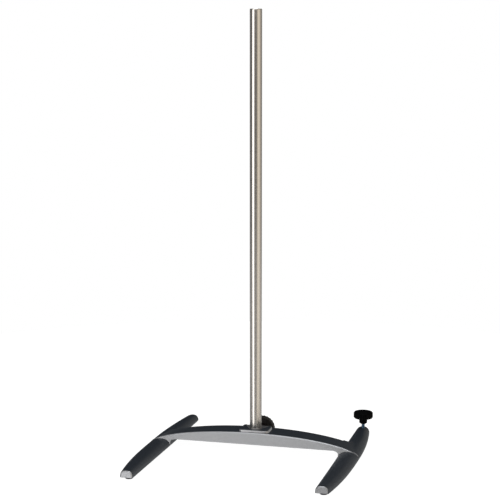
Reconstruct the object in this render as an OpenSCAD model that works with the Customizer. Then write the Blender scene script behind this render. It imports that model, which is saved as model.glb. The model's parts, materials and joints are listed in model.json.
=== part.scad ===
// Laboratory retort stand: a round steel column in an H-shaped base with an arched cross-beam.
// The base stands on +Z = 0, its legs run along Y with their silver tips at -Y, millimetres.

/* [Column] */
// Outer diameter of the column
column_d = 28; // [24:1:30]
// Wall thickness of the column tube
column_wall = 2; // [1.5:0.5:3]
// Height of the column's top above the bench
column_top = 1032; // [700:1:1200]
// How far the column stands behind the middle of the base
column_y = 36; // [30:1:42]

/* [Base] */
// Length of the legs from tip to heel
base_depth = 516; // [480:2:560]
// Distance of a leg's inner face from the centre line
leg_inner = 203; // [202:0.5:206]
// How much further out a leg's inner face stands at its tip
tip_inset = 2.4; // [0:0.2:4]
// Greatest distance of a leg's outer face from the centre line
leg_outer = 252; // [250:0.5:252]
// How far a leg's outer face draws in at its tip
taper_front = 17.2; // [12:0.2:22]
// How far a leg's outer face draws in at its heel
taper_back = 19.2; // [12:0.2:22]
// Height of the legs' underside above the bench
leg_bottom = 6.5; // [6:0.5:8]
// Height of a leg's section at its tip
tip_height = 16.5; // [15:0.5:18]
// How square a leg's section is at its tip
tip_squareness = 3.2; // [2.2:0.1:4]
// Height of a leg's section just in front of the beam
leg_height = 17.2; // [16:0.1:18]
// Height of a leg's section at its heel
heel_height = 14.5; // [13:0.5:16]
// Length over which a heel is rounded
heel_round = 18; // [12:1:28]

/* [Cross-beam] */
// Front face of the beam
beam_front = 10; // [8:1:12]
// Back face of the beam
beam_back = 76; // [74:1:80]
// Height of the beam's underside
beam_bottom = 24; // [22:1:25]
// Height at which the arch's ellipse is centred
arch_base = 8.5; // [8:0.5:9]
// Rise of the arch above that height
arch_rise = 44.5; // [43:0.5:46]
// Half of the arch's span
arch_half = 253; // [252.5:0.5:256]
// Fall of the beam's top from front to back at its middle, per millimetre
top_fall = 0.02; // [0:0.01:0.06]
// How much steeper that fall is above the legs
side_fall = 0.05; // [0:0.01:0.06]
// Distance from the centre line of the joint between the beam and a leg's stub
joint_x = 180; // [178:1:182]

/* [Fascia] */
// Thickness of the silver front panel
fascia_t = 3; // [2.5:0.5:3]
// Width of the bevel along the panel's edges
fascia_bevel = 1; // [0.5:0.1:1.2]

/* [Column socket] */
// Half width of the socket's flange
flange_x = 35; // [34:0.5:38]
// Half depth of the socket's flange
flange_y = 24.8; // [24.6:0.1:25.5]
// Radius of the flange's corners
flange_corner = 9; // [3:0.5:10]
// Radius of the socket's barrel
barrel_r = 23; // [22:0.5:24]
// Height of the flange's top above the bench
flange_top = 57.4; // [56:0.2:58]
// Height of the socket's floor, on which the column stands
socket_floor = 28; // [27:1:29]
// Thickness of the dark cover on the flange
cover_t = 1.2; // [1:0.1:2]

/* [Column clamp] */
// Height of the clamp screw's axis
clamp_z = 40; // [39:0.5:41]
// Radius of the clamp screw (M10)
clamp_r = 5; // [5:0.5:6]
// Radius of the plunger that presses on the column
plunger_r = 6.5; // [6:0.5:7]
// Radius of the clamp knob
clamp_knob_r = 30; // [25:1:32]
// Depth of the clamp knob's rim
clamp_knob_t = 16; // [12:1:18]

/* [Levelling screw] */
// Distance of the levelling screw from the centre line
screw_x = 221.5; // [219:0.5:223]
// Distance of the levelling screw behind the middle of the base
screw_y = 231; // [226:1:232]
// Radius of the levelling screw (M8)
screw_r = 4; // [3:0.5:4]
// Radius of the levelling knob's disc
level_knob_r = 23.5; // [20:0.5:25]
// Height of the underside of the knob's disc
level_knob_z = 46.2; // [45:0.2:50]
// Thickness of the knob's disc
level_knob_t = 15.2; // [11:0.2:16]

/* [Hidden] */
$fn = 72;

fit = 0.05;
anthracite = "#2a303a";
silver = "#a4a6a8";
black = "#101012";
steel = "#c9c6c0";

half_depth = base_depth / 2;
cap_t = 4;
leg_front = cap_t - half_depth;
leg_mid = 24;
side_h = 1.5;
step_y = beam_front - fascia_t;
blend_end = beam_back + 24;
arc_steps = 18;

foot_r = 9;
heel_foot_r = 11;
foot_h = 9;
foot_x = 220.5;
foot_y = 23 - half_depth;
foot_screw_r = 2;

bolt_y = [30, 56];
bolt_z = 28.5;
bolt_r = 3;
bolt_len = 16;
wall_x = joint_x - 8;
pocket_x = 50;
pocket_top = 36;
dowel_y = 43;
dowel_z = 31;
stud_x = [91, 150];
stud_z = 31;

column_r = column_d / 2;
spigot_r = column_r - 0.25;
spigot_top = flange_top + cover_t + 0.4;
plug_flange = 4;
cap_h = 2;
barrel_bottom = beam_bottom;
flange_bottom = 47;
cover_inset = 1.5;
socket_screw_x = 28.5;
socket_screw_y = 14;

bush_r = 8;
bush_flange_r = 11;
bush_back = 44;
clamp_boss_r = 12;
plunger_front = column_r + 0.3;
plunger_len = 11;
hub_front = 50;
knob_front = 56;

// Smooth step from 0 at a to 1 at b.
function ease(a, b, v) =
    let (u = min(1, max(0, (v - a) / (b - a)))) u * u * (3 - 2 * u);
function lerp(a, b, u) = a + (b - a) * u;

// Inner face of a leg at depth y.
function inner_x(y) = leg_inner + tip_inset * max(0, (step_y - y) / (step_y - leg_front));
// Outer face of a leg at depth y.
function outer_x(y) = y < leg_mid
    ? leg_outer - taper_front * pow((leg_mid - y) / (leg_mid - leg_front), 2.8)
    : leg_outer - taper_back * pow((y - leg_mid) / (half_depth - leg_mid), 2);
// Height of the arched top at a place on the beam.
function arch_z(x, y) =
    let (share = pow(x / arch_half, 2))
    arch_base + arch_rise * sqrt(max(0, 1 - share)) - (top_fall + side_fall * share) * (y - step_y);
// How square a leg's section is at depth y: it grows squarer towards the tip.
function squareness(y) =
    lerp(tip_squareness, 2.2, min(1, (y - leg_front) / (step_y - leg_front)));
// Height of a leg's rounded back across its width, 0 at the edges and 1 at the crest.
function dome(t, n) = pow(max(0, 1 - pow(abs(t), n)), 1.05 / n);
// Height of a leg's section at depth y, before the heel is rounded.
function crown(y) = y < step_y
    ? lerp(tip_height, leg_height, (y - leg_front) / (step_y - leg_front))
    : lerp(leg_height, heel_height, max(0, y - beam_back) / (half_depth - beam_back));
// Share of the width that is left at depth y on the rounded heel.
function heel(y) =
    let (e = min(1, max(0, (y - half_depth + heel_round) / heel_round))) sqrt(1 - e * e);
// How much of a leg's top belongs to the arch at depth y.
function arch_share(y) = y <= beam_front ? 0 : 1 - ease(beam_back, blend_end, y);

// Section of a leg at depth y: underside corner, top from inner to outer side, corner.
function leg_ring(y) =
    let (
        mid = (inner_x(y) + outer_x(y)) / 2,
        half = (outer_x(y) - inner_x(y)) / 2 * heel(y),
        rise = crown(y) * (0.5 + 0.5 * heel(y)) - side_h,
        share = arch_share(y)
    )
    concat(
        [[mid - half, y, leg_bottom]],
        [for (i = [0:arc_steps])
            let (
                t = -cos(180 * i / arc_steps),
                x = mid + t * half,
                low = leg_bottom + side_h + rise * dome(t, squareness(y))
            )
            [x, y, lerp(low, max(low, arch_z(x, y)), share)]],
        [[mid + half, y, leg_bottom]]
    );

// Solid through a list of rings of equal length.
module ring_solid(rings) {
    count = len(rings[0]);
    last = len(rings) - 1;
    points = [for (ring = rings, p = ring) p];
    sides = [for (i = [0:last - 1], j = [0:count - 1], half = [0, 1])
        let (a = i * count + j, b = i * count + (j + 1) % count)
        half == 0 ? [a, a + count, b] : [b, a + count, b + count]];
    caps = [
        [for (j = [0:count - 1]) j],
        [for (j = [count - 1:-1:0]) last * count + j]
    ];
    polyhedron(points, concat(sides, caps), convexity = 6);
}

// Underside of the beam, dropping in a fillet towards the legs.
fillet_x = leg_inner - 14.5;
fillet_drop = 8;
function under_z(x) =
    let (u = max(0, (abs(x) - fillet_x) / (leg_inner - fillet_x)))
    beam_bottom - fillet_drop * (1 - sqrt(max(0, 1 - u * u)));

// Section of the beam at x, with a rounded back edge.
edge_r = 6;
function beam_ring(x) =
    let (z = under_z(min(abs(x), leg_inner)))
    concat(
        [[x, beam_front, z], [x, beam_front, arch_z(x, beam_front)]],
        [for (a = [0:22.5:90])
            let (y = beam_back - edge_r + edge_r * sin(a))
            [x, y, arch_z(x, y) - edge_r * (1 - cos(a))]],
        [[x, beam_back, z]]
    );

module beam_solid(xa, xb, steps) {
    ring_solid([for (i = [steps:-1:0]) beam_ring(lerp(xa, xb, i / steps))]);
}

module at_column() {
    translate([0, column_y, 0])
        children();
}

// Cylinder along +Y, from y = a to y = b, at height z.
module along_y(r, a, b, z) {
    translate([0, a, z])
        rotate([-90, 0, 0])
            cylinder(h = b - a, r = r);
}

// Cylinder along +X, from x = a to x = b.
module along_x(r, a, b, y, z) {
    translate([a, y, z])
        rotate([0, 90, 0])
            cylinder(h = b - a, r = r);
}

module both_sides() {
    children();
    mirror([1, 0, 0])
        children();
}

// Outline of the column socket, a rectangle with round corners, drawn in by inset.
module flange_outline(inset) {
    r = flange_corner - inset;
    x = flange_x - inset - r;
    y = flange_y - inset - r;
    polygon([for (corner = [[1, 1, 0], [-1, 1, 90], [-1, -1, 180], [1, -1, 270]], a = [0:15:90])
        [corner[0] * x + r * cos(corner[2] + a), corner[1] * y + r * sin(corner[2] + a)]]);
}

// Shallow recess under a leg that keeps its wall even.
module leg_recess(ya, yb) {
    wall = 6;
    depth = 4;
    rows = 8;
    inner = [for (i = [0:rows])
        let (y = lerp(ya, yb, i / rows))
        [inner_x(y) + wall, y]];
    outer = [for (i = [rows:-1:0])
        let (y = lerp(ya, yb, i / rows))
        [outer_x(y) - wall, y]];
    translate([0, 0, leg_bottom - 1])
        linear_extrude(depth + 1)
            polygon(concat(inner, outer));
}

// Leg casting on the +X side, with the stub that carries the beam.
module leg_casting() {
    front = concat([for (i = [0:9]) lerp(leg_front, step_y, i / 9)], [beam_front]);
    middle = [beam_front + 0.02, lerp(beam_front, beam_back, 0.5), beam_back];
    blend = [for (i = [1:6]) lerp(beam_back, blend_end, i / 6)];
    heel_y = half_depth - heel_round;
    back = [for (i = [1:4]) lerp(blend_end, heel_y, i / 4)];
    tail = [for (a = [15:12:87]) heel_y + heel_round * sin(a)];
    difference() {
        union() {
            ring_solid([for (y = concat(front, middle, blend, back, tail, [half_depth - 0.02]))
                leg_ring(y)]);
            beam_solid(joint_x, leg_inner + 1, 8);
        }
        leg_recess(foot_y + 22, -18);
        leg_recess(beam_back + 20, screw_y - 30);
        for (y = bolt_y)
            along_x(bolt_r, joint_x - 1, joint_x + bolt_len, y, bolt_z);
        along_x(2.5, joint_x - 1, joint_x + 10, dowel_y, dowel_z);
        translate([foot_x, foot_y, 0]) {
            cylinder(h = foot_h, r = foot_r);
            cylinder(h = foot_h + 6, r = foot_screw_r);
        }
        translate([tip_x, 0, tip_peg_z])
            rotate([-90, 0, 0])
                translate([0, 0, leg_front - 1])
                    cylinder(h = tip_peg_len + 1, r = tip_peg_r);
    }
}

module cross_beam() {
    color(anthracite)
        difference() {
            union() {
                beam_solid(-joint_x, joint_x, 36);
                at_column()
                    along_y(clamp_boss_r, barrel_r + 4, bush_back, clamp_z);
            }
            at_column() {
                translate([0, 0, beam_bottom - 1])
                    cylinder(h = 40, r = barrel_r);
                translate([0, 0, flange_bottom])
                    linear_extrude(20)
                        flange_outline(0);
                along_y(bush_r, barrel_r - 4, bush_back + 1, clamp_z);
                for (sx = [-1, 1], sy = [-1, 1])
                    translate([sx * socket_screw_x, sy * socket_screw_y, beam_bottom - 1]) {
                        cylinder(h = flange_bottom, r = 3);
                        cylinder(h = 9, r = 5.5);
                    }
            }
            both_sides() {
                translate([pocket_x, beam_front + 10, beam_bottom - 10])
                    cube([wall_x - pocket_x, beam_back - beam_front - 20, pocket_top - beam_bottom + 10]);
                for (y = bolt_y)
                    along_x(bolt_r + 0.3, wall_x - 1, joint_x + 1, y, bolt_z);
                along_x(2.5, joint_x - 7, joint_x + 1, dowel_y, dowel_z);
                for (x = stud_x)
                    translate([x, 0, 0])
                        along_y(2, beam_front - 1, beam_front + 8, stud_z);
            }
        }
}

module leg_left() {
    color(anthracite)
        mirror([1, 0, 0])
            difference() {
                leg_casting();
                translate([screw_x, screw_y, 0]) {
                    cylinder(h = foot_h, r = heel_foot_r);
                    cylinder(h = foot_h + 6, r = foot_screw_r);
                }
            }
}

pad_recess_r = 13;
pad_recess_top = 10;
level_bush_r = 7;
level_bush_top = 17;
module leg_right() {
    color(anthracite)
        difference() {
            leg_casting();
            translate([screw_x, screw_y, 0]) {
                cylinder(h = pad_recess_top, r = pad_recess_r);
                cylinder(h = level_bush_top, r = level_bush_r);
                cylinder(h = 40, r = screw_r + 0.5);
            }
        }
}

// Stations along half of the fascia: close together over the leg, where its edge follows the dome.
fascia_end = leg_outer - 1.5;
fascia_gap = 0.3;
fascia_mid = (leg_inner + outer_x(step_y)) / 2;
fascia_half = (outer_x(step_y) - leg_inner) / 2;
fascia_right = concat(
    [for (i = [0:24]) leg_inner * sin(90 * i / 24)],
    [for (i = [1:30])
        let (x = fascia_mid - fascia_half * cos(180 * i / 30))
        if (x < fascia_end - 0.2) x],
    [fascia_end]
);
fascia_count = len(fascia_right);
fascia_stations = concat(
    [for (i = [fascia_count - 1:-1:1]) -fascia_right[i]],
    fascia_right
);
function fascia_low(x) =
    let (t = (abs(x) - fascia_mid) / fascia_half)
    abs(x) < leg_inner + 0.01
        ? under_z(x)
        : leg_bottom + side_h + (leg_height - side_h) * dome(t, 2.2) + fascia_gap;
module fascia_outline(inset) {
    top = [for (x = fascia_stations)
        [x, max(fascia_low(x) + 0.6, arch_z(x, step_y) - inset)]];
    low = [for (i = [len(fascia_stations) - 1:-1:0])
        let (x = fascia_stations[i])
        [x, fascia_low(x) + min(inset, 0.3)]];
    polygon(concat(top, low));
}

module fascia() {
    color(silver)
        difference() {
            union() {
                translate([0, beam_front, 0])
                    rotate([90, 0, 0])
                        linear_extrude(fascia_t - fascia_bevel)
                            fascia_outline(0);
                translate([0, step_y + fascia_bevel, 0])
                    rotate([90, 0, 0])
                        linear_extrude(fascia_bevel)
                            fascia_outline(fascia_bevel);
            }
            both_sides()
                for (x = stud_x)
                    translate([x, 0, 0])
                        along_y(2, beam_front - 2, beam_front + 1, stud_z);
        }
}

module fascia_studs() {
    color(steel)
        both_sides()
            for (x = stud_x)
                translate([x, 0, 0])
                    along_y(2, beam_front - 2, beam_front + 7, stud_z);
}

tip_x = (inner_x(leg_front) + outer_x(leg_front)) / 2;
tip_peg_r = 4;
tip_peg_z = 14;
tip_peg_len = 10;
module tip_outline(inset) {
    half = (outer_x(leg_front) - inner_x(leg_front)) / 2 - inset;
    polygon(concat(
        [[-half, leg_bottom + inset]],
        [for (i = [0:arc_steps])
            let (t = -cos(180 * i / arc_steps))
            [half * t, leg_bottom + side_h + (tip_height - side_h - inset) * dome(t, tip_squareness)]],
        [[half, leg_bottom + inset]]
    ));
}

// Silver end cap with a bevelled rim and a peg into the leg.
module tip_cap() {
    rim = 1.2;
    translate([tip_x, leg_front, 0])
        rotate([90, 0, 0]) {
            linear_extrude(cap_t - rim)
                tip_outline(0);
            translate([0, 0, cap_t - rim])
                linear_extrude(rim)
                    tip_outline(rim);
        }
    translate([tip_x, 0, 0])
        along_y(tip_peg_r, leg_front - 0.5, leg_front + tip_peg_len, tip_peg_z);
}

module tip_cap_left() {
    color(silver)
        mirror([1, 0, 0])
            tip_cap();
}

module tip_cap_right() {
    color(silver)
        tip_cap();
}

// Rubber foot with a sunk hole for its screw.
module foot(r) {
    color(black)
        difference() {
            union() {
                cylinder(h = 1, r1 = r - 1, r2 = r);
                translate([0, 0, 1])
                    cylinder(h = foot_h - 1, r = r);
            }
            translate([0, 0, -1])
                cylinder(h = 5, r = 4.6);
            cylinder(h = foot_h + 1, r = foot_screw_r);
        }
}

module foot_screw() {
    translate([0, 0, 1.6])
        cylinder(h = 2.4, r = 4);
    translate([0, 0, 3.9])
        cylinder(h = foot_h + 1, r = foot_screw_r);
}

module foot_front_left() {
    translate([-foot_x, foot_y, 0])
        foot(foot_r);
}

module foot_front_right() {
    translate([foot_x, foot_y, 0])
        foot(foot_r);
}

module foot_rear_left() {
    translate([-screw_x, screw_y, 0])
        foot(heel_foot_r);
}

module foot_screws() {
    color(steel) {
        translate([-foot_x, foot_y, 0])
            foot_screw();
        translate([foot_x, foot_y, 0])
            foot_screw();
        translate([-screw_x, screw_y, 0])
            foot_screw();
    }
}

washer_t = 1;
module leg_bolts() {
    color(steel)
        both_sides()
            for (y = bolt_y)
                difference() {
                    union() {
                        along_x(5, wall_x - washer_t - 6, wall_x - washer_t, y, bolt_z);
                        along_x(bolt_r, wall_x - washer_t - 0.5, joint_x + bolt_len, y, bolt_z);
                    }
                    translate([wall_x - washer_t - 7, y, bolt_z])
                        rotate([0, 90, 0])
                            cylinder(h = 4, r = 2.9, $fn = 6);
                }
}

module leg_washers() {
    color(steel)
        both_sides()
            for (y = bolt_y)
                difference() {
                    along_x(6, wall_x - washer_t, wall_x, y, bolt_z);
                    along_x(bolt_r, wall_x - 2 * washer_t, wall_x + 1, y, bolt_z);
                }
}

module leg_dowels() {
    color(steel)
        both_sides()
            along_x(2.5, joint_x - 7, joint_x + 10, dowel_y, dowel_z);
}

module column_socket() {
    color("#b4b6b8")
        at_column()
            difference() {
                union() {
                    translate([0, 0, barrel_bottom])
                        cylinder(h = flange_bottom - barrel_bottom + 1, r = barrel_r);
                    translate([0, 0, flange_bottom])
                        linear_extrude(flange_top - flange_bottom - 1.5)
                            flange_outline(0);
                    translate([0, 0, flange_top - 1.5])
                        linear_extrude(1.5)
                            flange_outline(1.2);
                }
                translate([0, 0, socket_floor])
                    cylinder(h = 60, r = spigot_r + fit);
                translate([0, 0, barrel_bottom - 1])
                    cylinder(h = 20, r = 4);
                along_y(plunger_r + fit, column_r - 3, barrel_r + 1, clamp_z);
                for (sx = [-1, 1], sy = [-1, 1])
                    translate([sx * socket_screw_x, sy * socket_screw_y, flange_bottom - 1])
                        cylinder(h = 7, r = 3);
            }
}

// Dark cover in front and at the sides of the column, open in a V towards the back.
module socket_cover() {
    color(anthracite)
        at_column()
            translate([0, 0, flange_top])
                linear_extrude(cover_t)
                    difference() {
                        flange_outline(cover_inset);
                        circle(r = column_r + 0.4);
                        polygon([[-10, -16], [10, -16], [27.5, 14], [27.5, 30], [-27.5, 30], [-27.5, 14]]);
                    }
}

module socket_screws() {
    color(steel)
        at_column()
            for (sx = [-1, 1], sy = [-1, 1])
                translate([sx * socket_screw_x, sy * socket_screw_y, 0])
                    difference() {
                        union() {
                            translate([0, 0, beam_bottom + 2])
                                cylinder(h = 6, r = 5);
                            translate([0, 0, beam_bottom + 7])
                                cylinder(h = flange_bottom - beam_bottom - 2, r = 3);
                        }
                        translate([0, 0, beam_bottom + 1])
                            cylinder(h = 4, r = 2.9, $fn = 6);
                    }
}

module clamp_bush() {
    color("#b59a55")
        at_column()
            difference() {
                union() {
                    along_y(bush_r, barrel_r + 6, bush_back, clamp_z);
                    along_y(bush_flange_r, bush_back, bush_back + 2, clamp_z);
                }
                along_y(clamp_r + fit, barrel_r, bush_back + 3, clamp_z);
            }
}

// Column tube, turned down slightly where it sits in the socket.
module column_tube() {
    tube_bottom = socket_floor + plug_flange;
    color(steel)
        at_column()
            difference() {
                union() {
                    translate([0, 0, tube_bottom])
                        cylinder(h = spigot_top - tube_bottom + 1, r = spigot_r);
                    translate([0, 0, spigot_top])
                        cylinder(h = column_top - cap_h - spigot_top, r = column_r);
                }
                translate([0, 0, socket_floor])
                    cylinder(h = column_top, r = column_r - column_wall);
            }
}

module column_top_plug() {
    chamfer = 1;
    color(steel)
        at_column() {
            translate([0, 0, column_top - 28])
                cylinder(h = 28 - cap_h + 0.5, r = column_r - column_wall);
            translate([0, 0, column_top - cap_h])
                cylinder(h = cap_h - chamfer, r = column_r);
            translate([0, 0, column_top - chamfer])
                cylinder(h = chamfer, r1 = column_r, r2 = column_r - chamfer);
        }
}

module column_foot_plug() {
    color(steel)
        at_column() {
            translate([0, 0, socket_floor])
                cylinder(h = plug_flange, r = spigot_r);
            translate([0, 0, socket_floor + plug_flange - 0.5])
                cylinder(h = 30, r = column_r - column_wall - fit);
        }
}

module clamp_plunger() {
    color("#b59a55")
        at_column()
            difference() {
                along_y(plunger_r, column_r - 2, plunger_front + plunger_len, clamp_z);
                cylinder(h = 2 * clamp_z, r = plunger_front);
            }
}

module clamp_stud() {
    color(steel)
        at_column()
            along_y(clamp_r, plunger_front + plunger_len, knob_front + 8, clamp_z);
}

// Round knob, hollow towards the column, with a hub and a fluted rim.
module clamp_knob() {
    wall = 4;
    recess = 10;
    flutes = 24;
    back = knob_front + clamp_knob_t;
    color(black)
        at_column()
            difference() {
                union() {
                    difference() {
                        along_y(clamp_knob_r, knob_front, back - 2, clamp_z);
                        along_y(clamp_knob_r - wall, knob_front - 1, knob_front + recess, clamp_z);
                    }
                    translate([0, back - 2, clamp_z])
                        rotate([-90, 0, 0])
                            cylinder(h = 2, r1 = clamp_knob_r, r2 = clamp_knob_r - 2);
                    along_y(12, hub_front, knob_front + recess + 1, clamp_z);
                }
                along_y(clamp_r, hub_front - 1, knob_front + 8, clamp_z);
                for (a = [0:360 / flutes:359])
                    translate([0, 0, clamp_z])
                        rotate([0, a, 0])
                            along_y(1.5, knob_front - 1, back + 1, clamp_knob_r + 0.7);
            }
}

module levelling_bush() {
    color("#b59a55")
        translate([screw_x, screw_y, 0])
            difference() {
                translate([0, 0, pad_recess_top])
                    cylinder(h = level_bush_top - pad_recess_top, r = level_bush_r);
                translate([0, 0, pad_recess_top - 1])
                    cylinder(h = 10, r = screw_r + fit);
            }
}

pad_floor = 2.5;
pad_top = 5;
module levelling_screw() {
    color(steel)
        translate([screw_x, screw_y, pad_floor])
            cylinder(h = level_knob_z + 8 - pad_floor, r = screw_r);
}

// Black knob: a fluted disc over a stepped hub that tapers to the screw.
module levelling_knob() {
    hub_r = 9.7;
    hub_z = 36;
    cone_z = 31.5;
    edge = 2;
    flutes = 16;
    top = level_knob_z + level_knob_t;
    color(black)
        translate([screw_x, screw_y, 0])
            difference() {
                rotate_extrude()
                    polygon([
                        [0, cone_z], [screw_r + 1.5, cone_z], [hub_r, hub_z],
                        [hub_r, level_knob_z], [level_knob_r - edge, level_knob_z],
                        [level_knob_r, level_knob_z + edge], [level_knob_r, top - edge],
                        [level_knob_r - edge, top], [0, top]
                    ]);
                translate([0, 0, cone_z - 1])
                    cylinder(h = level_knob_z + 8 - cone_z + 1, r = screw_r);
                for (a = [0:360 / flutes:359])
                    rotate([0, 0, a])
                        translate([level_knob_r + 1.6, 0, level_knob_z - 1])
                            cylinder(h = level_knob_t + 2, r = 2.4);
            }
}

module levelling_foot() {
    color(black)
        translate([screw_x, screw_y, 0])
            difference() {
                union() {
                    translate([0, 0, 1.5])
                        cylinder(h = 2, r = 11);
                    translate([0, 0, 3.4])
                        cylinder(h = pad_top - 3.4, r1 = 9, r2 = 7);
                }
                translate([0, 0, pad_floor])
                    cylinder(h = 10, r = screw_r + fit);
            }
}

module levelling_sole() {
    color("#1a1a1a")
        translate([screw_x, screw_y, 0])
            cylinder(h = 1.5, r = 11);
}

cross_beam();
leg_left();
leg_right();
fascia();
tip_cap_left();
tip_cap_right();
foot_front_left();
foot_front_right();
foot_rear_left();
foot_screws();
leg_bolts();
leg_washers();
leg_dowels();
fascia_studs();
column_socket();
socket_cover();
socket_screws();
clamp_bush();
column_tube();
column_top_plug();
column_foot_plug();
clamp_plunger();
clamp_stud();
clamp_knob();
levelling_bush();
levelling_screw();
levelling_knob();
levelling_foot();
levelling_sole();
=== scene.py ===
"""Laboratory retort stand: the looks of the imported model, in metres, in the model's own frame."""
import json
import math

import bmesh
import bpy
from mathutils import Matrix, Vector


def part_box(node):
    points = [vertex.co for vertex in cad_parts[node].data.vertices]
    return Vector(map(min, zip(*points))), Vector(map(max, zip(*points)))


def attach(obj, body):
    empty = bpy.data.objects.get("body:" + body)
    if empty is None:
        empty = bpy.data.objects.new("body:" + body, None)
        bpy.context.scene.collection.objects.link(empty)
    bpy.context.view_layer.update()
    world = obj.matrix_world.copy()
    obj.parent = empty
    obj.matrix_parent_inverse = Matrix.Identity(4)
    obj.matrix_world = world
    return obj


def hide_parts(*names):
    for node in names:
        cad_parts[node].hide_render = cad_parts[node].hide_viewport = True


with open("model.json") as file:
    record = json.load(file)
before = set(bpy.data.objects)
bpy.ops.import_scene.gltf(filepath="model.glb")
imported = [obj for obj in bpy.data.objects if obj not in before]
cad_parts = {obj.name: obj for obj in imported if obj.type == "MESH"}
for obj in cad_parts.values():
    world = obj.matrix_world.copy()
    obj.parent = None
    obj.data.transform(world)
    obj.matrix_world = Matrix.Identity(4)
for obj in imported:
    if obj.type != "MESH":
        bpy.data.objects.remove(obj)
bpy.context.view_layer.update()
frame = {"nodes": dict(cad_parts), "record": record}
slot_of = {part["node"]: part["material_slot"] for part in frame["record"]["subparts"]}

# ---------------------------------------------------------------- places read from the frame
leg_low, leg_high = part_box("leg_right")
beam_low, beam_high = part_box("cross_beam")
fascia_low_corner, fascia_high_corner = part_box("fascia")
cap_low, cap_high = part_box("tip_cap_right")
tube_low, tube_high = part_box("column_tube")
top_low, top_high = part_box("column_top_plug")
socket_low, socket_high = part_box("column_socket")
_, cover_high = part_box("socket_cover")
knob_low, knob_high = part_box("clamp_knob")
stud_low, stud_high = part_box("clamp_stud")
bush_low, bush_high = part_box("clamp_bush")
disc_low, disc_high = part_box("levelling_knob")
screw_low, screw_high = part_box("levelling_screw")
pad_low, pad_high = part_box("levelling_foot")
sole_low, sole_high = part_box("levelling_sole")
level_bush_low, level_bush_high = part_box("levelling_bush")

COLUMN_R = (tube_high.x - tube_low.x) / 2
COLUMN_Y = (tube_high.y + tube_low.y) / 2
COLUMN_TOP = top_high.z
LEG_BOTTOM = leg_low.z
LEG_FRONT = cap_high.y - 0.010
HEEL_Y = leg_high.y
JOINT_X = beam_high.x
BEAM_BOTTOM = beam_low.z
BEAM_FRONT = beam_low.y
FASCIA_FRONT = fascia_low_corner.y
FASCIA_END = fascia_high_corner.x
SCREW_X = (screw_low.x + screw_high.x) / 2
SCREW_Y = (screw_low.y + screw_high.y) / 2
CLAMP_Z = (stud_low.z + stud_high.z) / 2

# ---------------------------------------------------------------- shape of the base
LEG_INNER = 0.203       # inner face of a leg from the centre line
TIP_INSET = 0.0024      # how much further out it stands at the tip
LEG_OUTER = 0.252       # widest point of a leg's bowed outer face
LEG_MID = 0.024         # where along Y the bow is widest
TAPER_FRONT = 0.0172    # how far the outer face draws in at the tip
TAPER_BACK = 0.0192     # and at the heel
TIP_SQUARENESS = 3.2    # exponent of the section's outline at the tip
LEG_SQUARENESS = 2.2    # and at the beam and behind it
SIDE_H = 0.0015         # upright edge of a leg's section under its round back
TIP_H = 0.0165          # height of the section at the tip
LEG_H = 0.0172          # height of the section at the beam
HEEL_H = 0.0145         # height of the section at the heel
HEEL_ROUND = 0.018      # length over which the heel is rounded
BEAM_BACK = 0.076
BLEND_END = 0.100       # where the arch has melted into the leg
ARCH_BASE = 0.0085
ARCH_RISE = 0.0445
ARCH_HALF = 0.253
TOP_FALL = 0.02         # fall of the beam's top, front to back, at its middle
SIDE_FALL = 0.05        # how much steeper that fall is above the legs
FILLET_X = LEG_INNER - 0.0145
FILLET_DROP = 0.008
BACK_EDGE_R = 0.006
BOTTOM_EDGE_R = 0.0012


def ease(a, b, v):
    """Smooth step from 0 at a to 1 at b."""
    u = min(1, max(0, (v - a) / (b - a)))
    return u * u * (3 - 2 * u)


def lerp(a, b, u):
    return a + (b - a) * u


def inner_x(y):
    """Inner face of a leg at depth y."""
    return LEG_INNER + TIP_INSET * max(0, (FASCIA_FRONT - y) / (FASCIA_FRONT - LEG_FRONT))


def outer_x(y):
    """Outer face of a leg at depth y."""
    if y < LEG_MID:
        return LEG_OUTER - TAPER_FRONT * ((LEG_MID - y) / (LEG_MID - LEG_FRONT)) ** 2.8
    return LEG_OUTER - TAPER_BACK * ((y - LEG_MID) / (HEEL_Y - LEG_MID)) ** 2


def arch_z(x, y):
    """Arched top of the beam."""
    share = (x / ARCH_HALF) ** 2
    fall = TOP_FALL + SIDE_FALL * share
    return ARCH_BASE + ARCH_RISE * math.sqrt(max(0, 1 - share)) - fall * (y - FASCIA_FRONT)


def squareness(y):
    """Exponent of a leg's section at depth y."""
    return lerp(TIP_SQUARENESS, LEG_SQUARENESS, min(1, (y - LEG_FRONT) / (FASCIA_FRONT - LEG_FRONT)))


def dome(t, n=LEG_SQUARENESS):
    """Round back of a leg across its width, t = -1 inside to 1 outside."""
    return max(0, 1 - abs(t) ** n) ** (1.05 / n)


def crown(y):
    """Height of a leg's section at depth y."""
    if y < FASCIA_FRONT:
        return lerp(TIP_H, LEG_H, (y - LEG_FRONT) / (FASCIA_FRONT - LEG_FRONT))
    return lerp(LEG_H, HEEL_H, max(0, y - BEAM_BACK) / (HEEL_Y - BEAM_BACK))


def heel(y):
    """Share of a leg's width that is left at depth y of the rounded heel."""
    e = min(1, max(0, (y - HEEL_Y + HEEL_ROUND) / HEEL_ROUND))
    return math.sqrt(1 - e * e)


def arch_share(y):
    """How much of a leg's top belongs to the arch at depth y."""
    return 0 if y <= BEAM_FRONT else 1 - ease(BEAM_BACK, BLEND_END, y)


def under_z(x):
    """Underside of the beam, dropping in a fillet to the legs."""
    u = min(1, max(0, (abs(x) - FILLET_X) / (LEG_INNER - FILLET_X)))
    return BEAM_BOTTOM - FILLET_DROP * (1 - math.sqrt(1 - u * u))


# ---------------------------------------------------------------- mesh helpers
def shade(bm, sharp=32):
    """Smooth faces, with sharp edges where the surface turns by more than `sharp` degrees."""
    limit = math.radians(sharp)
    for face in bm.faces:
        face.smooth = True
    for edge in bm.edges:
        edge.smooth = len(edge.link_faces) == 2 and edge.calc_face_angle() < limit


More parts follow.
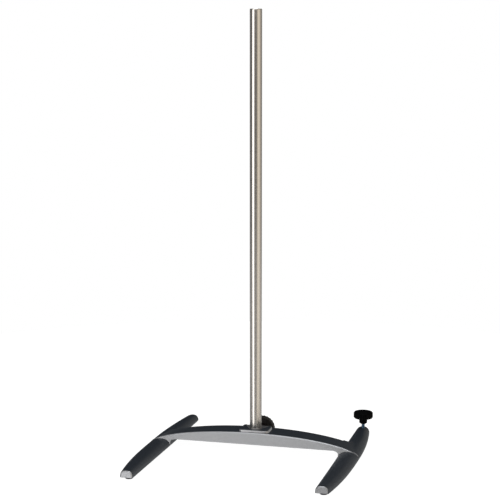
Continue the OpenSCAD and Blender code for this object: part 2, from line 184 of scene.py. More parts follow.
def to_object(name, bm, sharp=32):
    """Turns a bmesh into an object of the scene."""
    bmesh.ops.recalc_face_normals(bm, faces=bm.faces)
    shade(bm, sharp)
    mesh = bpy.data.meshes.new(name)
    bm.to_mesh(mesh)
    bm.free()
    obj = bpy.data.objects.new(name, mesh)
    bpy.context.scene.collection.objects.link(obj)
    return obj


def loft(rings):
    """Closed skin through rings of equal length, with a cap on each end."""
    bm = bmesh.new()
    rows = [[bm.verts.new(point) for point in ring] for ring in rings]
    count = len(rows[0])
    for near, far in zip(rows, rows[1:]):
        for i in range(count):
            j = (i + 1) % count
            bm.faces.new((near[i], near[j], far[j], far[i]))
    bm.faces.new(rows[0][::-1])
    bm.faces.new(rows[-1])
    return bm


def lathe(profile, segments=96, ripple=None, hollow=False):
    """Solid of revolution about Z through (radius, height) points.

    ripple(angle, radius, height) moves a point out or in. A hollow profile is a closed loop.
    """
    bm = bmesh.new()
    rows = []
    for r, h in profile:
        if r < 1e-6:
            rows.append([bm.verts.new((0, 0, h))])
            continue
        row = []
        for i in range(segments):
            angle = 2 * math.pi * i / segments
            out = r + (ripple(angle, r, h) if ripple else 0)
            row.append(bm.verts.new((out * math.cos(angle), out * math.sin(angle), h)))
        rows.append(row)
    pairs = list(zip(rows, rows[1:]))
    if hollow:
        pairs.append((rows[-1], rows[0]))
    for near, far in pairs:
        for i in range(segments):
            j = (i + 1) % segments
            if len(near) == 1:
                bm.faces.new((near[0], far[i], far[j]))
            elif len(far) == 1:
                bm.faces.new((near[i], near[j], far[0]))
            else:
                bm.faces.new((near[i], near[j], far[j], far[i]))
    return bm


def rounded(corners, steps=4, loop=False):
    """Points along a line through (x, y, fillet) corners, each fillet drawn as an arc."""
    points = []
    count = len(corners)
    for i, (x, y, fillet) in enumerate(corners):
        here = Vector((x, y))
        if fillet == 0 or (not loop and i in (0, count - 1)):
            points.append((x, y))
            continue
        back = Vector(corners[i - 1][:2]) - here
        ahead = Vector(corners[(i + 1) % count][:2]) - here
        half = back.angle(ahead) / 2
        reach = min(fillet / math.tan(half), 0.49 * min(back.length, ahead.length))
        radius = reach * math.tan(half)
        centre = here + (back.normalized() + ahead.normalized()).normalized() * radius / math.sin(half)
        start = here + back.normalized() * reach - centre
        turn = math.pi - 2 * half
        if start.x * (here - centre).y - start.y * (here - centre).x < 0:
            turn = -turn
        for k in range(steps + 1):
            a = turn * k / steps
            points.append((
                centre.x + start.x * math.cos(a) - start.y * math.sin(a),
                centre.y + start.x * math.sin(a) + start.y * math.cos(a),
            ))
    return points


def stand_at(bm, x, y, z=0):
    """Moves a bmesh to its place."""
    bmesh.ops.translate(bm, verts=bm.verts, vec=(x, y, z))
    return bm


def lay_along_y(bm, x, z):
    """Turns a bmesh's Z axis to +Y and moves it to the column's plane: heights start at the column."""
    bm.transform(Matrix.Translation((x, COLUMN_Y, z)) @ Matrix.Rotation(-math.pi / 2, 4, "X"))
    return bm


def plate(outline, bottom, top):
    """Upright prism of an outline."""
    return loft([[(x, y, z) for x, y in outline] for z in (bottom, top)])


def rod(radius, start, end, segments=48):
    """Plain cylinder about Z, for cutting."""
    return lathe([(0, start), (radius, start), (radius, end), (0, end)], segments)


def combine(obj, tools, operation, sharp=32):
    """Cuts the tools out of a piece, or joins them to it, and deletes them."""
    for i, bm in enumerate(tools):
        tool = to_object(f"tool_{i}", bm)
        modifier = obj.modifiers.new("combine", "BOOLEAN")
        modifier.operation = operation
        modifier.solver = "EXACT"
        modifier.object = tool
        graph = bpy.context.evaluated_depsgraph_get()
        mesh = bpy.data.meshes.new_from_object(obj.evaluated_get(graph))
        obj.modifiers.clear()
        obj.data = mesh
        bpy.data.objects.remove(tool)
    bm = bmesh.new()
    bm.from_mesh(obj.data)
    bmesh.ops.remove_doubles(bm, verts=bm.verts, dist=1e-6)
    bmesh.ops.dissolve_degenerate(bm, edges=bm.edges, dist=1e-6)
    bmesh.ops.recalc_face_normals(bm, faces=bm.faces)
    shade(bm, sharp)
    bm.to_mesh(obj.data)
    bm.free()
    return obj


def cut(obj, *tools, sharp=32):
    return combine(obj, tools, "DIFFERENCE", sharp)


def join(obj, *tools, sharp=32):
    return combine(obj, tools, "UNION", sharp)


def place(obj, body, slot, material, *nodes):
    """Puts a piece on its body, with its material, in the place of CAD nodes."""
    obj.data.materials.clear()
    obj.data.materials.append(material)
    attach(obj, body)
    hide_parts(*nodes)
    return obj


# ---------------------------------------------------------------- materials
class Recipe:
    """A node material, with patterns that keep to the object's own coordinates in metres."""

    def __init__(self, name, metallic=0.0, **uniform):
        self.material = bpy.data.materials.new(name)
        self.material.use_nodes = True
        self.tree = self.material.node_tree
        self.shader = self.tree.nodes["Principled BSDF"]
        self.shader.inputs["Metallic"].default_value = metallic
        for socket, value in uniform.items():
            self.shader.inputs[socket.replace("_", " ")].default_value = value
        self.place = self.add("ShaderNodeTexCoord").outputs["Object"]

    def add(self, kind, inputs=(), **settings):
        node = self.tree.nodes.new(kind)
        for name, value in settings.items():
            setattr(node, name, value)
        for name, value in dict(inputs).items():
            if isinstance(value, bpy.types.NodeSocket):
                self.tree.links.new(value, node.inputs[name])
            else:
                node.inputs[name].default_value = value
        return node

    def stretched(self, x, y, z):
        """Coordinates with a density of their own along each axis."""
        return self.add("ShaderNodeMapping", {"Vector": self.place, "Scale": (x, y, z)}).outputs[0]

    def noise(self, scale, detail=2.0, where=None, rough=0.55):
        return self.add("ShaderNodeTexNoise", {
            "Vector": where or self.place, "Scale": scale, "Detail": detail, "Roughness": rough,
        }).outputs["Fac"]

    def grains(self, scale):
        """A random value for each cell of a fine grain."""
        cells = self.add("ShaderNodeTexVoronoi", {"Vector": self.place, "Scale": scale})
        return self.add("ShaderNodeSeparateColor", {"Color": cells.outputs["Color"]}).outputs[0]

    def spread(self, value, low, high, start=0.25, end=0.75):
        return self.add("ShaderNodeMapRange", {
            "Value": value, "From Min": start, "From Max": end, "To Min": low, "To Max": high,
        }).outputs["Result"]

    def maths(self, operation, a, b):
        return self.add("ShaderNodeMath", {0: a, 1: b}, operation=operation).outputs[0]

    def blend(self, share, first, second, kind="MIX"):
        node = self.add("ShaderNodeMix", {0: share}, data_type="RGBA", blend_type=kind)
        for socket, value in ((node.inputs[6], first), (node.inputs[7], second)):
            if isinstance(value, bpy.types.NodeSocket):
                self.tree.links.new(value, socket)
            else:
                socket.default_value = (*value, 1)
        return node.outputs[2]

    def colour(self, value):
        self.tree.links.new(value, self.shader.inputs["Base Color"])

    def roughness(self, value):
        self.tree.links.new(value, self.shader.inputs["Roughness"])

    def relief(self, height, depth, strength=1.0):
        """Bump of a height pattern, `depth` metres deep."""
        bump = self.add("ShaderNodeBump", {"Height": height, "Distance": depth, "Strength": strength})
        self.tree.links.new(bump.outputs["Normal"], self.shader.inputs["Normal"])
        return bump.outputs["Normal"]


def grey(v):
    return (v, v, v)


def anthracite_lacquer():
    """Satin blue-black lacquer on cast aluminium, with a faint orange peel."""
    m = Recipe("anthracite_lacquer", Specular_IOR_Level=0.42)
    drift = m.noise(28, 3)
    speck = m.grains(2600)
    base = m.blend(m.spread(drift, 0, 1), (0.0135, 0.0195, 0.029), (0.0175, 0.024, 0.034))
    m.colour(m.blend(0.35, base, m.blend(m.spread(speck, 0, 1, 0, 1), grey(0.004), (0.036, 0.042, 0.052))))
    m.roughness(m.spread(m.noise(420, 3), 0.36, 0.47))
    peel = m.noise(900, 2)
    m.relief(m.maths("ADD", peel, m.maths("MULTIPLY", m.grains(2600), 0.35)), 0.00003)
    return m.material


def silver_lacquer():
    """Metallic lacquer: flakes that differ in brightness, roughness and tilt."""
    m = Recipe("silver_lacquer", metallic=0.75)
    flakes = m.grains(1900)
    clouds = m.noise(240, 3)
    tone = m.maths("ADD", m.spread(flakes, -0.10, 0.10, 0, 1), m.spread(clouds, -0.045, 0.045))
    level = m.maths("ADD", tone, 0.5)
    m.colour(m.blend(level, (0.186, 0.193, 0.204), (0.486, 0.500, 0.524)))
    m.roughness(m.spread(flakes, 0.34, 0.52, 0, 1))
    m.relief(m.maths("ADD", flakes, m.noise(700, 2)), 0.00004)
    return m.material


def brushed_steel(name, colour, low, high, anisotropy):
    """Stainless steel with fine brush marks round its axis."""
    m = Recipe(name, metallic=0.92, Anisotropic=anisotropy)
    marks = m.noise(1.0, 4, m.stretched(70, 70, 5200), 0.7)
    bands = m.noise(1.0, 2, m.stretched(9, 9, 160))
    darker = tuple(c * 0.86 for c in colour)
    tone = m.maths("ADD", m.spread(marks, 0.15, 0.85), m.spread(bands, -0.15, 0.15))
    m.colour(m.blend(tone, darker, colour))
    m.roughness(m.maths("ADD", m.spread(marks, low, high), m.spread(bands, -0.02, 0.02)))
    m.relief(marks, 0.000002)
    m.shader.inputs["Anisotropic Rotation"].default_value = 0.25
    tangent = m.add("ShaderNodeTangent", direction_type="RADIAL", axis="Z")
    m.tree.links.new(tangent.outputs[0], m.shader.inputs["Tangent"])
    return m.material


def machined(name, colour, roughness, grain=1500):
    """Turned or die-cast metal with fine irregular marks."""
    m = Recipe(name, metallic=1.0)
    fine = m.noise(grain, 3)
    wide = m.noise(90, 2)
    darker = tuple(c * 0.8 for c in colour)
    m.colour(m.blend(m.maths("ADD", m.spread(fine, 0.2, 0.8), m.spread(wide, -0.15, 0.15)), darker, colour))
    grit = m.spread(fine, roughness - 0.06, roughness + 0.08)
    m.roughness(m.maths("ADD", grit, m.spread(wide, -0.03, 0.03)))
    m.relief(fine, 0.000012)
    return m.material


def moulded(name, colour, roughness, grain=1700, depth=0.00004, gloss=0.4):
    """Moulded plastic or rubber with a fine eroded grain."""
    m = Recipe(name, Specular_IOR_Level=gloss)
    fine = m.noise(grain, 3)
    wide = m.noise(60, 2)
    lighter = tuple(c * 1.8 + 0.0004 for c in colour)
    m.colour(m.blend(m.maths("ADD", m.spread(fine, 0.1, 0.6), m.spread(wide, -0.1, 0.2)), colour, lighter))
    grit = m.spread(fine, roughness - 0.07, roughness + 0.07)
    m.roughness(m.maths("ADD", grit, m.spread(wide, -0.04, 0.04)))
    m.relief(fine, depth)
    return m.material


ANTHRACITE = anthracite_lacquer()
SILVER = silver_lacquer()
STEEL = brushed_steel("brushed_steel", (0.67, 0.645, 0.61), 0.19, 0.25, 0.9)
SOCKET = machined("cast_silver", (0.50, 0.51, 0.53), 0.42)
FASTENER = machined("zinc_steel", (0.48, 0.49, 0.50), 0.34, 2200)
THREAD = machined("blued_steel", (0.20, 0.31, 0.42), 0.30, 2600)
BRASS = machined("turned_brass", (0.66, 0.49, 0.22), 0.28, 2400)
LEVEL_KNOB = moulded("knob_plastic", (0.0006, 0.0006, 0.0007), 0.5, gloss=0.03)
CLAMP_KNOB = moulded("clamp_plastic", (0.0050, 0.0036, 0.0036), 0.46)
COVER = moulded("cover_plastic", (0.014, 0.018, 0.024), 0.42)
RUBBER = moulded("foot_rubber", (0.009, 0.0075, 0.013), 0.62, 1200, 0.00008)
MATERIAL_OF = {
    "anthracite": ANTHRACITE, "silver_lacquer": SILVER, "socket_silver": SOCKET,
    "column_steel": STEEL, "fastener_steel": FASTENER, "thread_steel": THREAD, "brass": BRASS,
    "knob_black": LEVEL_KNOB, "cover_dark": COVER, "rubber_black": RUBBER,
}

# ---------------------------------------------------------------- legs
DOME_STEPS = 40
UNDER_STEPS = 6
FRONT_RINGS = 46
REAR_RINGS = 14
HEEL_RINGS = 14


def leg_ring(y):
    """Section of the right leg at depth y, with round lower edges."""
    mid = (inner_x(y) + outer_x(y)) / 2
    half = (outer_x(y) - inner_x(y)) / 2 * heel(y)
    rise = crown(y) * (0.5 + 0.5 * heel(y)) - SIDE_H
    share = arch_share(y)
    edge = min(BOTTOM_EDGE_R, half * 0.4)
    ring = []
    for i in range(DOME_STEPS + 1):
        t = -math.cos(math.pi * i / DOME_STEPS)
        x = mid + t * half
        low = LEG_BOTTOM + SIDE_H + rise * dome(t, squareness(y))
        ring.append((x, y, lerp(low, max(low, arch_z(x, y)), share)))
    for a in (0, 30, 60, 90):
        ring.append((
            mid + half - edge * (1 - math.cos(math.radians(a))), y,
            LEG_BOTTOM + edge * (1 - math.sin(math.radians(a))),
        ))
    for i in range(1, UNDER_STEPS):
        ring.append((lerp(mid + half - edge, mid - half + edge, i / UNDER_STEPS), y, LEG_BOTTOM))
    for a in (90, 60, 30, 0):
        ring.append((
            mid - half + edge * (1 - math.cos(math.radians(a))), y,
            LEG_BOTTOM + edge * (1 - math.sin(math.radians(a))),
        ))
    return ring


def beam_ring(x):
    """Section of the beam at x, with a rounded back edge."""
    z = under_z(x)
    edge = BOTTOM_EDGE_R
    ring = [(x, BEAM_FRONT, z), (x, BEAM_FRONT, arch_z(x, BEAM_FRONT))]
    for i in range(1, 8):
        y = lerp(BEAM_FRONT, BEAM_BACK - BACK_EDGE_R, i / 8)
        ring.append((x, y, arch_z(x, y)))
    for i in range(9):
        a = math.pi / 2 * i / 8
        y = BEAM_BACK - BACK_EDGE_R * (1 - math.sin(a))
        ring.append((x, y, arch_z(x, y) - BACK_EDGE_R * (1 - math.cos(a))))
    for a in (0, 30, 60, 90):
        ring.append((
            x, BEAM_BACK - edge * (1 - math.cos(math.radians(a))),
            z + edge * (1 - math.sin(math.radians(a))),
        ))
    return ring


def flip(piece):
    """Moves a finished piece to the other side of the centre plane, as its mirror image."""
    bm = bmesh.new()
    bm.from_mesh(piece.data)
    bm.transform(Matrix.Diagonal((-1, 1, 1, 1)))
    bmesh.ops.recalc_face_normals(bm, faces=bm.faces)
    bm.to_mesh(piece.data)
    bm.free()


RECESS_WALL = 0.006
RECESS_DEPTH = 0.004
BOLT_Y = (0.030, 0.056)
BOLT_Z = 0.0285


def leg_recess(ya, yb):
    """Shallow recess under a leg."""
    depths = [lerp(ya, yb, i / 12) for i in range(13)]
    inner = [(inner_x(y) + RECESS_WALL, y) for y in depths]
    outer = [(outer_x(y) - RECESS_WALL, y) for y in reversed(depths)]
    return plate(inner + outer, LEG_BOTTOM - 0.001, LEG_BOTTOM + RECESS_DEPTH)


def build_leg(side, name):
    """One leg casting with its stub, bores and recesses: side is 1 on the right, -1 on the left."""
    front = [lerp(LEG_FRONT, BEAM_FRONT, i / FRONT_RINGS) for i in range(FRONT_RINGS + 1)]
    middle = [lerp(BEAM_FRONT + 0.00002, BEAM_BACK, i / 12) for i in range(13)]
    blend = [lerp(BEAM_BACK, BLEND_END, i / 16) for i in range(1, 17)]
    heel_start = HEEL_Y - HEEL_ROUND
    rear = [lerp(BLEND_END, heel_start, i / REAR_RINGS) for i in range(1, REAR_RINGS + 1)]
    turns = [math.radians(88 * i / HEEL_RINGS) for i in range(1, HEEL_RINGS + 1)]
    tail = [heel_start + HEEL_ROUND * math.sin(turn) for turn in turns]
    leg = to_object(name, loft([leg_ring(y) for y in front + middle + blend + rear + tail]))
    stub = loft([beam_ring(lerp(JOINT_X, LEG_INNER + 0.001, i / 12)) for i in range(13)])
    join(leg, stub)
    foot_low, foot_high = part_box("foot_front_right")
    foot_x = (foot_low.x + foot_high.x) / 2
    foot_y = (foot_low.y + foot_high.y) / 2
    foot_r = (foot_high.x - foot_low.x) / 2
    tools = [
        leg_recess(foot_y + 0.022, -0.018),
        leg_recess(BEAM_BACK + 0.020, SCREW_Y - 0.030),
        stand_at(rod(foot_r, 0, foot_high.z), foot_x, foot_y),
    ]
    if side > 0:
        pad_r = (pad_high.x - pad_low.x) / 2 + 0.002
        bush_r = (level_bush_high.x - level_bush_low.x) / 2
        screw_r = (screw_high.x - screw_low.x) / 2
        tools.append(stand_at(lathe([
            (0, 0), (pad_r, 0), (pad_r, level_bush_low.z), (bush_r, level_bush_low.z),
            (bush_r, level_bush_high.z), (screw_r + 0.0005, level_bush_high.z),
            (screw_r + 0.0005, 0.04), (0, 0.04),
        ], 64), SCREW_X, SCREW_Y))
    else:
        rear_low, rear_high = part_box("foot_rear_left")
        tools.append(stand_at(rod((rear_high.x - rear_low.x) / 2, 0, rear_high.z), SCREW_X, SCREW_Y))
    for y in BOLT_Y:
        bolt = rod(0.003, JOINT_X - 0.001, JOINT_X + 0.016)
        bolt.transform(Matrix.Translation((0, y, BOLT_Z)) @ Matrix.Rotation(math.pi / 2, 4, "Y"))
        tools.append(bolt)
    cut(leg, *tools)
    if side < 0:
        flip(leg)
    return leg


leg_right = place(build_leg(1, "leg_casting_right"), "base", "anthracite", ANTHRACITE, "leg_right")
leg_left = place(build_leg(-1, "leg_casting_left"), "base", "anthracite", ANTHRACITE, "leg_left")

# ---------------------------------------------------------------- cross-beam
BEAM_RINGS = 96
POCKET_X = (0.050, 0.172)
POCKET_TOP = 0.036
POCKET_WALL = 0.010
FLANGE_X = (socket_high.x - socket_low.x) / 2
FLANGE_Y = COLUMN_Y - socket_low.y
FLANGE_BOTTOM = 0.047
FLANGE_TOP = socket_high.z
FLANGE_CORNER = 0.009
BARREL_R = 0.023
CLAMP_BOSS_R = 0.012
CLAMP_BUSH_R = 0.008
BOSS_START = 0.027      # the clamp boss begins this far behind the column's axis
SOCKET_SCREW = (0.0285, 0.014)  # socket screws, to each side of the column's axis


def flange_outline(inset, steps=6):
    """Rectangle with round corners about the column's axis."""
    x, y, r = FLANGE_X - inset, FLANGE_Y - inset, max(0.0005, FLANGE_CORNER - inset)
    points = []
    for k, (sx, sy) in enumerate(((1, 1), (-1, 1), (-1, -1), (1, -1))):
        for i in range(steps + 1):
            a = math.pi / 2 * (k + i / steps)
            points.append((sx * (x - r) + r * math.cos(a), COLUMN_Y + sy * (y - r) + r * math.sin(a)))
    return points


def pocket(side):
    """Pocket under the beam with round corners."""
    xa, xb = POCKET_X
    ya, yb = BEAM_FRONT + POCKET_WALL, BEAM_BACK - POCKET_WALL
    corners = [(xa, ya), (xb, ya), (xb, yb), (xa, yb)]
    outline = rounded([(x, y, 0.002) for x, y in corners], 4, True)
    return plate([(side * x, y) for x, y in outline], BEAM_BOTTOM - 0.010, POCKET_TOP)


def build_beam():
    """Arched beam with the clamp boss, the socket's seat and bores, and the pockets below."""
    stations = [lerp(-JOINT_X, JOINT_X, i / BEAM_RINGS) for i in range(BEAM_RINGS + 1)]
    beam = to_object("beam_casting", loft([beam_ring(x) for x in stations]))
    boss_end = bush_high.y - 0.002 - COLUMN_Y
    boss = rounded([
        (0, BOSS_START, 0), (CLAMP_BOSS_R, BOSS_START, 0),
        (CLAMP_BOSS_R, boss_end, 0.0012), (0, boss_end, 0),
    ])
    join(beam, lay_along_y(lathe(boss, 64), 0, CLAMP_Z))
    tools = [
        stand_at(rod(BARREL_R, BEAM_BOTTOM - 0.001, 0.060, 96), 0, COLUMN_Y),
        plate(flange_outline(-0.0001), FLANGE_BOTTOM, FLANGE_BOTTOM + 0.02),
        lay_along_y(rod(CLAMP_BUSH_R, BARREL_R - 0.004, boss_end + 0.001), 0, CLAMP_Z),
    ]
    counterbore = [(0, 0.02), (0.0055, 0.02), (0.0055, 0.032), (0.003, 0.032), (0.003, 0.06), (0, 0.06)]
    across, along = SOCKET_SCREW
    for side in (-1, 1):
        tools.append(pocket(side))
        for dy in (-along, along):
            tools.append(stand_at(lathe(counterbore, 40), side * across, COLUMN_Y + dy))
    return cut(beam, *tools)


beam = place(build_beam(), "base", "anthracite", ANTHRACITE, "cross_beam")
# the photo's column doesn't mirror the dark base at its foot
for dark in (leg_right, leg_left, beam):
    dark.visible_glossy = False

# ---------------------------------------------------------------- fascia
FASCIA_BACK = fascia_high_corner.y
FASCIA_BEVEL_W = 0.0018 # depth of the upper edge's bevel
FASCIA_BEVEL_H = 0.0020 # and its height
FASCIA_GAP = 0.0003     # clearance over the leg's round back
FASCIA_DROP = 0.0005    # the panel's edge lies this far below the beam's
fascia_mid = (LEG_INNER + outer_x(FASCIA_FRONT)) / 2
fascia_half = (outer_x(FASCIA_FRONT) - LEG_INNER) / 2


def fascia_bottom(x):
    """Lower edge of the silver panel: the beam's underside, then the leg's round back."""
    if abs(x) < LEG_INNER:
        return under_z(x)
    t = (abs(x) - fascia_mid) / fascia_half
    return LEG_BOTTOM + SIDE_H + (LEG_H - SIDE_H) * dome(t) + FASCIA_GAP


def fascia_ring(x):
    """Section of the panel at x, with a flat bevel along its upper edge."""
    low = fascia_bottom(x)
    top = max(low + 0.0006, arch_z(x, FASCIA_FRONT) - FASCIA_DROP)
    share = min(1, (top - low) / 0.006)
    wide = FASCIA_BEVEL_W * share
    tall = FASCIA_BEVEL_H * share
    small = 0.0005 * share
    ring = [(x, FASCIA_BACK, low), (x, FASCIA_BACK, top)]
    for depth, drop in ((1, 0), (0.85, 0.10), (0.10, 0.85), (0, 1)):
        ring.append((x, FASCIA_FRONT + wide * depth, top - tall * drop))
    for i in range(1, 5):
        ring.append((x, FASCIA_FRONT, lerp(top - tall, low + small, i / 5)))
    for i in range(4):
        a = math.pi / 2 * i / 3
        ring.append((x, FASCIA_FRONT + small * (1 - math.cos(a)), low + small * (1 - math.sin(a))))
    return ring


def build_fascia():
    span = [LEG_INNER * math.sin(math.pi / 2 * i / 60) for i in range(60)]
    over_leg = [fascia_mid - fascia_half * math.cos(math.pi * i / 60) for i in range(61)]
    right = span + [x for x in over_leg if LEG_INNER - 1e-5 <= x < FASCIA_END - 0.0002] + [FASCIA_END]
    stations = [-x for x in reversed(right[1:])] + right
    return to_object("front_fascia", loft([fascia_ring(x) for x in stations]), 28)


place(build_fascia(), "base", "silver_lacquer", SILVER, "fascia")

# ---------------------------------------------------------------- tip caps
CAP_RIM = 0.0026        # from the leg's skin in to the cap's face
CAP_RIM_DEPTH = 0.0022  # how far the rim's bevel falls back from the face
CAP_INSET = 0.0011      # step from the leg's skin in to the cap's
CAP_LEAN = 0.095        # how far the cap's face leans outwards, per metre of width
CAP_PEG_R = 0.004
CAP_PEG_Z = 0.014
tip_inner = inner_x(LEG_FRONT)
tip_mid = (tip_inner + outer_x(LEG_FRONT)) / 2
tip_half = (outer_x(LEG_FRONT) - tip_inner) / 2


def cap_ring(inset, depth, lean=CAP_LEAN):
    """Outline of a tip cap, drawn in by inset, at that depth on its inner side."""
    half = tip_half - inset
    floor = LEG_BOTTOM + min(inset, 0.0012)
    height = TIP_H - SIDE_H - inset
    edge = BOTTOM_EDGE_R
    outline = []
    for i in range(DOME_STEPS + 1):
        t = -math.cos(math.pi * i / DOME_STEPS)
        outline.append((tip_mid + half * t, floor + SIDE_H + height * dome(t, TIP_SQUARENESS)))
    turns = [math.radians(a) for a in (0, 30, 60, 90)]
    for side, quarter in ((1, turns), (-1, turns[::-1])):
        for a in quarter:
            reach = half - edge * (1 - math.cos(a))
            outline.append((tip_mid + side * reach, floor + edge * (1 - math.sin(a))))
    return [(x, depth + lean * (x - tip_inner), z) for x, z in outline]


def build_cap(side, name):
    """Silver cap on a leg's tip: a bevelled rim round a flat face, and a peg into the leg."""
    front = cap_low.y
    rings = [
        cap_ring(CAP_INSET, LEG_FRONT, 0),
        cap_ring(CAP_INSET, front + CAP_RIM_DEPTH),
        cap_ring(CAP_RIM, front),
    ]
    cap = to_object(name, loft(rings), 24)
    peg = lathe(rounded([
        (0, LEG_FRONT - 0.001, 0), (CAP_PEG_R, LEG_FRONT - 0.001, 0),
        (CAP_PEG_R, cap_high.y, 0.0006), (0, cap_high.y, 0),
    ]), 32)
    peg.transform(Matrix.Translation((tip_mid, 0, CAP_PEG_Z)) @ Matrix.Rotation(-math.pi / 2, 4, "X"))
    join(cap, peg, sharp=24)
    if side < 0:
        flip(cap)
    return cap


place(build_cap(1, "cap_right"), "base", "silver_lacquer", SILVER, "tip_cap_right")
place(build_cap(-1, "cap_left"), "base", "silver_lacquer", SILVER, "tip_cap_left")

# ---------------------------------------------------------------- rubber feet
for node in ("foot_front_left", "foot_front_right", "foot_rear_left"):
    low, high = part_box(node)
    r = (high.x - low.x) / 2
    profile = rounded([
        (0.002, 0.004, 0), (0.0046, 0.004, 0.0004), (0.0046, low.z, 0.0005), (r - 0.0008, low.z, 0.0008),
        (r, low.z + 0.002, 0.0015), (r, high.z, 0.0004), (0.002, high.z, 0),
    ], 5)
    turned = lathe(profile, 72, hollow=True)
    foot = to_object(node + "_rubber", stand_at(turned, (low.x + high.x) / 2, (low.y + high.y) / 2))
    place(foot, "base", "rubber_black", RUBBER, node)

# ---------------------------------------------------------------- column
SPIGOT_R = COLUMN_R - 0.00025
TUBE_BORE = COLUMN_R - 0.002
tube_profile = rounded([
    (TUBE_BORE, tube_low.z, 0), (SPIGOT_R, tube_low.z, 0), (SPIGOT_R, 0.0588, 0), (COLUMN_R, 0.0592, 0),
    (COLUMN_R, tube_high.z, 0.0003), (TUBE_BORE, tube_high.z, 0),
])
tube = to_object("column_rod", stand_at(lathe(tube_profile, 160, hollow=True), 0, COLUMN_Y), 50)
place(tube, "column", "column_steel", STEEL, "column_tube")

cap_profile = rounded([
    (0, top_low.z, 0), (TUBE_BORE, top_low.z, 0.001), (TUBE_BORE, tube_high.z + 0.0002, 0),
    (COLUMN_R, tube_high.z + 0.0002, 0.0003), (COLUMN_R, COLUMN_TOP - 0.001, 0.0003),
    (COLUMN_R - 0.001, COLUMN_TOP, 0.0003), (0, COLUMN_TOP, 0),
])
end_plug = to_object("column_cap", stand_at(lathe(cap_profile, 160), 0, COLUMN_Y), 50)
place(end_plug, "column", "column_steel", STEEL, "column_top_plug")

# ---------------------------------------------------------------- column socket and its cover
FLANGE_BEVEL = 0.0012


def build_socket():
    """Socket with a bevelled flange, the column's bore and the plunger's cross bore."""
    levels = [(0, FLANGE_BOTTOM), (0, FLANGE_TOP - FLANGE_BEVEL - 0.0003)]
    levels += [
        (FLANGE_BEVEL * (1 - math.cos(a)), FLANGE_TOP - FLANGE_BEVEL * (1 - math.sin(a)))
        for a in (math.radians(18 * i) for i in range(6))
    ]
    rings = [[(x, y, z) for x, y in flange_outline(inset)] for inset, z in levels]
    socket = to_object("socket_body", loft(rings))
    barrel = stand_at(rod(BARREL_R, socket_low.z, FLANGE_BOTTOM + 0.001, 96), 0, COLUMN_Y)
    join(socket, barrel)
    bore = rounded([
        (0, tube_low.z - 0.004, 0), (SPIGOT_R + 0.00005, tube_low.z - 0.004, 0),
        (SPIGOT_R + 0.00005, FLANGE_TOP - 0.0004, 0), (SPIGOT_R + 0.0006, FLANGE_TOP + 0.0002, 0),
        (SPIGOT_R + 0.0006, FLANGE_TOP + 0.001, 0), (0, FLANGE_TOP + 0.001, 0),
    ])
    cut(
        socket,
        stand_at(lathe(bore, 128), 0, COLUMN_Y),
        stand_at(rod(0.004, 0, 0.04), 0, COLUMN_Y),
        lay_along_y(rod(0.00655, COLUMN_R - 0.003, BARREL_R + 0.001), 0, CLAMP_Z),
    )
    return socket


place(build_socket(), "base", "socket_silver", SOCKET, "column_socket")

COVER_INSET = 0.0015
V_FRONT = (0.010, -0.016)
V_BACK = (0.0275, 0.014)
V_END = 0.030


def build_cover():
    """Thin dark cover with arms beside the column, open in a V towards the back."""
    edge = 0.0004
    levels = [(COVER_INSET, FLANGE_TOP), (COVER_INSET, cover_high.z - edge)]
    levels += [
        (COVER_INSET + edge * (1 - math.cos(a)), cover_high.z - edge * (1 - math.sin(a)))
        for a in (math.radians(30 * i) for i in range(1, 4))
    ]
    rings = [[(x, y, z) for x, y in flange_outline(inset)] for inset, z in levels]
    cover = to_object("cover_plate", loft(rings))
    opening = [
        (-V_FRONT[0], V_FRONT[1]), V_FRONT, V_BACK,
        (V_BACK[0], V_END), (-V_BACK[0], V_END), (-V_BACK[0], V_BACK[1]),
    ]
    outline = rounded([(x, y + COLUMN_Y, 0.002) for x, y in opening], 4, True)
    hole = stand_at(rod(COLUMN_R + 0.0004, FLANGE_TOP - 0.01, FLANGE_TOP + 0.01, 128), 0, COLUMN_Y)
    return cut(cover, hole, plate(outline, FLANGE_TOP - 0.01, FLANGE_TOP + 0.01))


place(build_cover(), "base", "cover_dark", COVER, "socket_cover")

# ---------------------------------------------------------------- threads
def threaded_rod(radius, pitch, start, end, segments=32, per_turn=8):
    """Rod about Z whose radius follows a real screw thread, chamfered at both ends."""
    depth = 0.6 * pitch
    steps = round((end - start) / pitch * per_turn)
    rings = []
    for i in range(steps + 1):
        h = lerp(start, end, i / steps)
        lead = min(1, min(h - start, end - h) / pitch)
        ring = []
        for j in range(segments):
            phase = (h / pitch - j / segments) % 1
            tooth = min(1, max(0, (abs(phase - 0.5) * 2 - 0.12) / 0.76))
            r = radius - depth * (1 - tooth * lead)
            a = 2 * math.pi * j / segments
            ring.append((r * math.cos(a), r * math.sin(a), h))
        rings.append(ring)
    return loft(rings)


CLAMP_PITCH = 0.0015
LEVEL_PITCH = 0.00125
clamp_thread = threaded_rod(
    (stud_high.z - stud_low.z) / 2, CLAMP_PITCH, stud_low.y - COLUMN_Y, stud_high.y - COLUMN_Y,
)
place(to_object("clamp_thread", lay_along_y(clamp_thread, 0, CLAMP_Z), 60),
      "clamp_screw", "thread_steel", THREAD, "clamp_stud")
level_thread = threaded_rod((screw_high.x - screw_low.x) / 2, LEVEL_PITCH, screw_low.z, screw_high.z)
place(to_object("levelling_thread", stand_at(level_thread, SCREW_X, SCREW_Y), 60),
      "levelling_screw", "thread_steel", THREAD, "levelling_screw")


# ---------------------------------------------------------------- bushes
def bush(name, profile, put, node):
    """Turned brass bush, which put() lays in its place."""
    turned = lathe(rounded(profile, 4, True), 72, hollow=True)
    place(to_object(name, put(turned)), "base", "brass", BRASS, node)


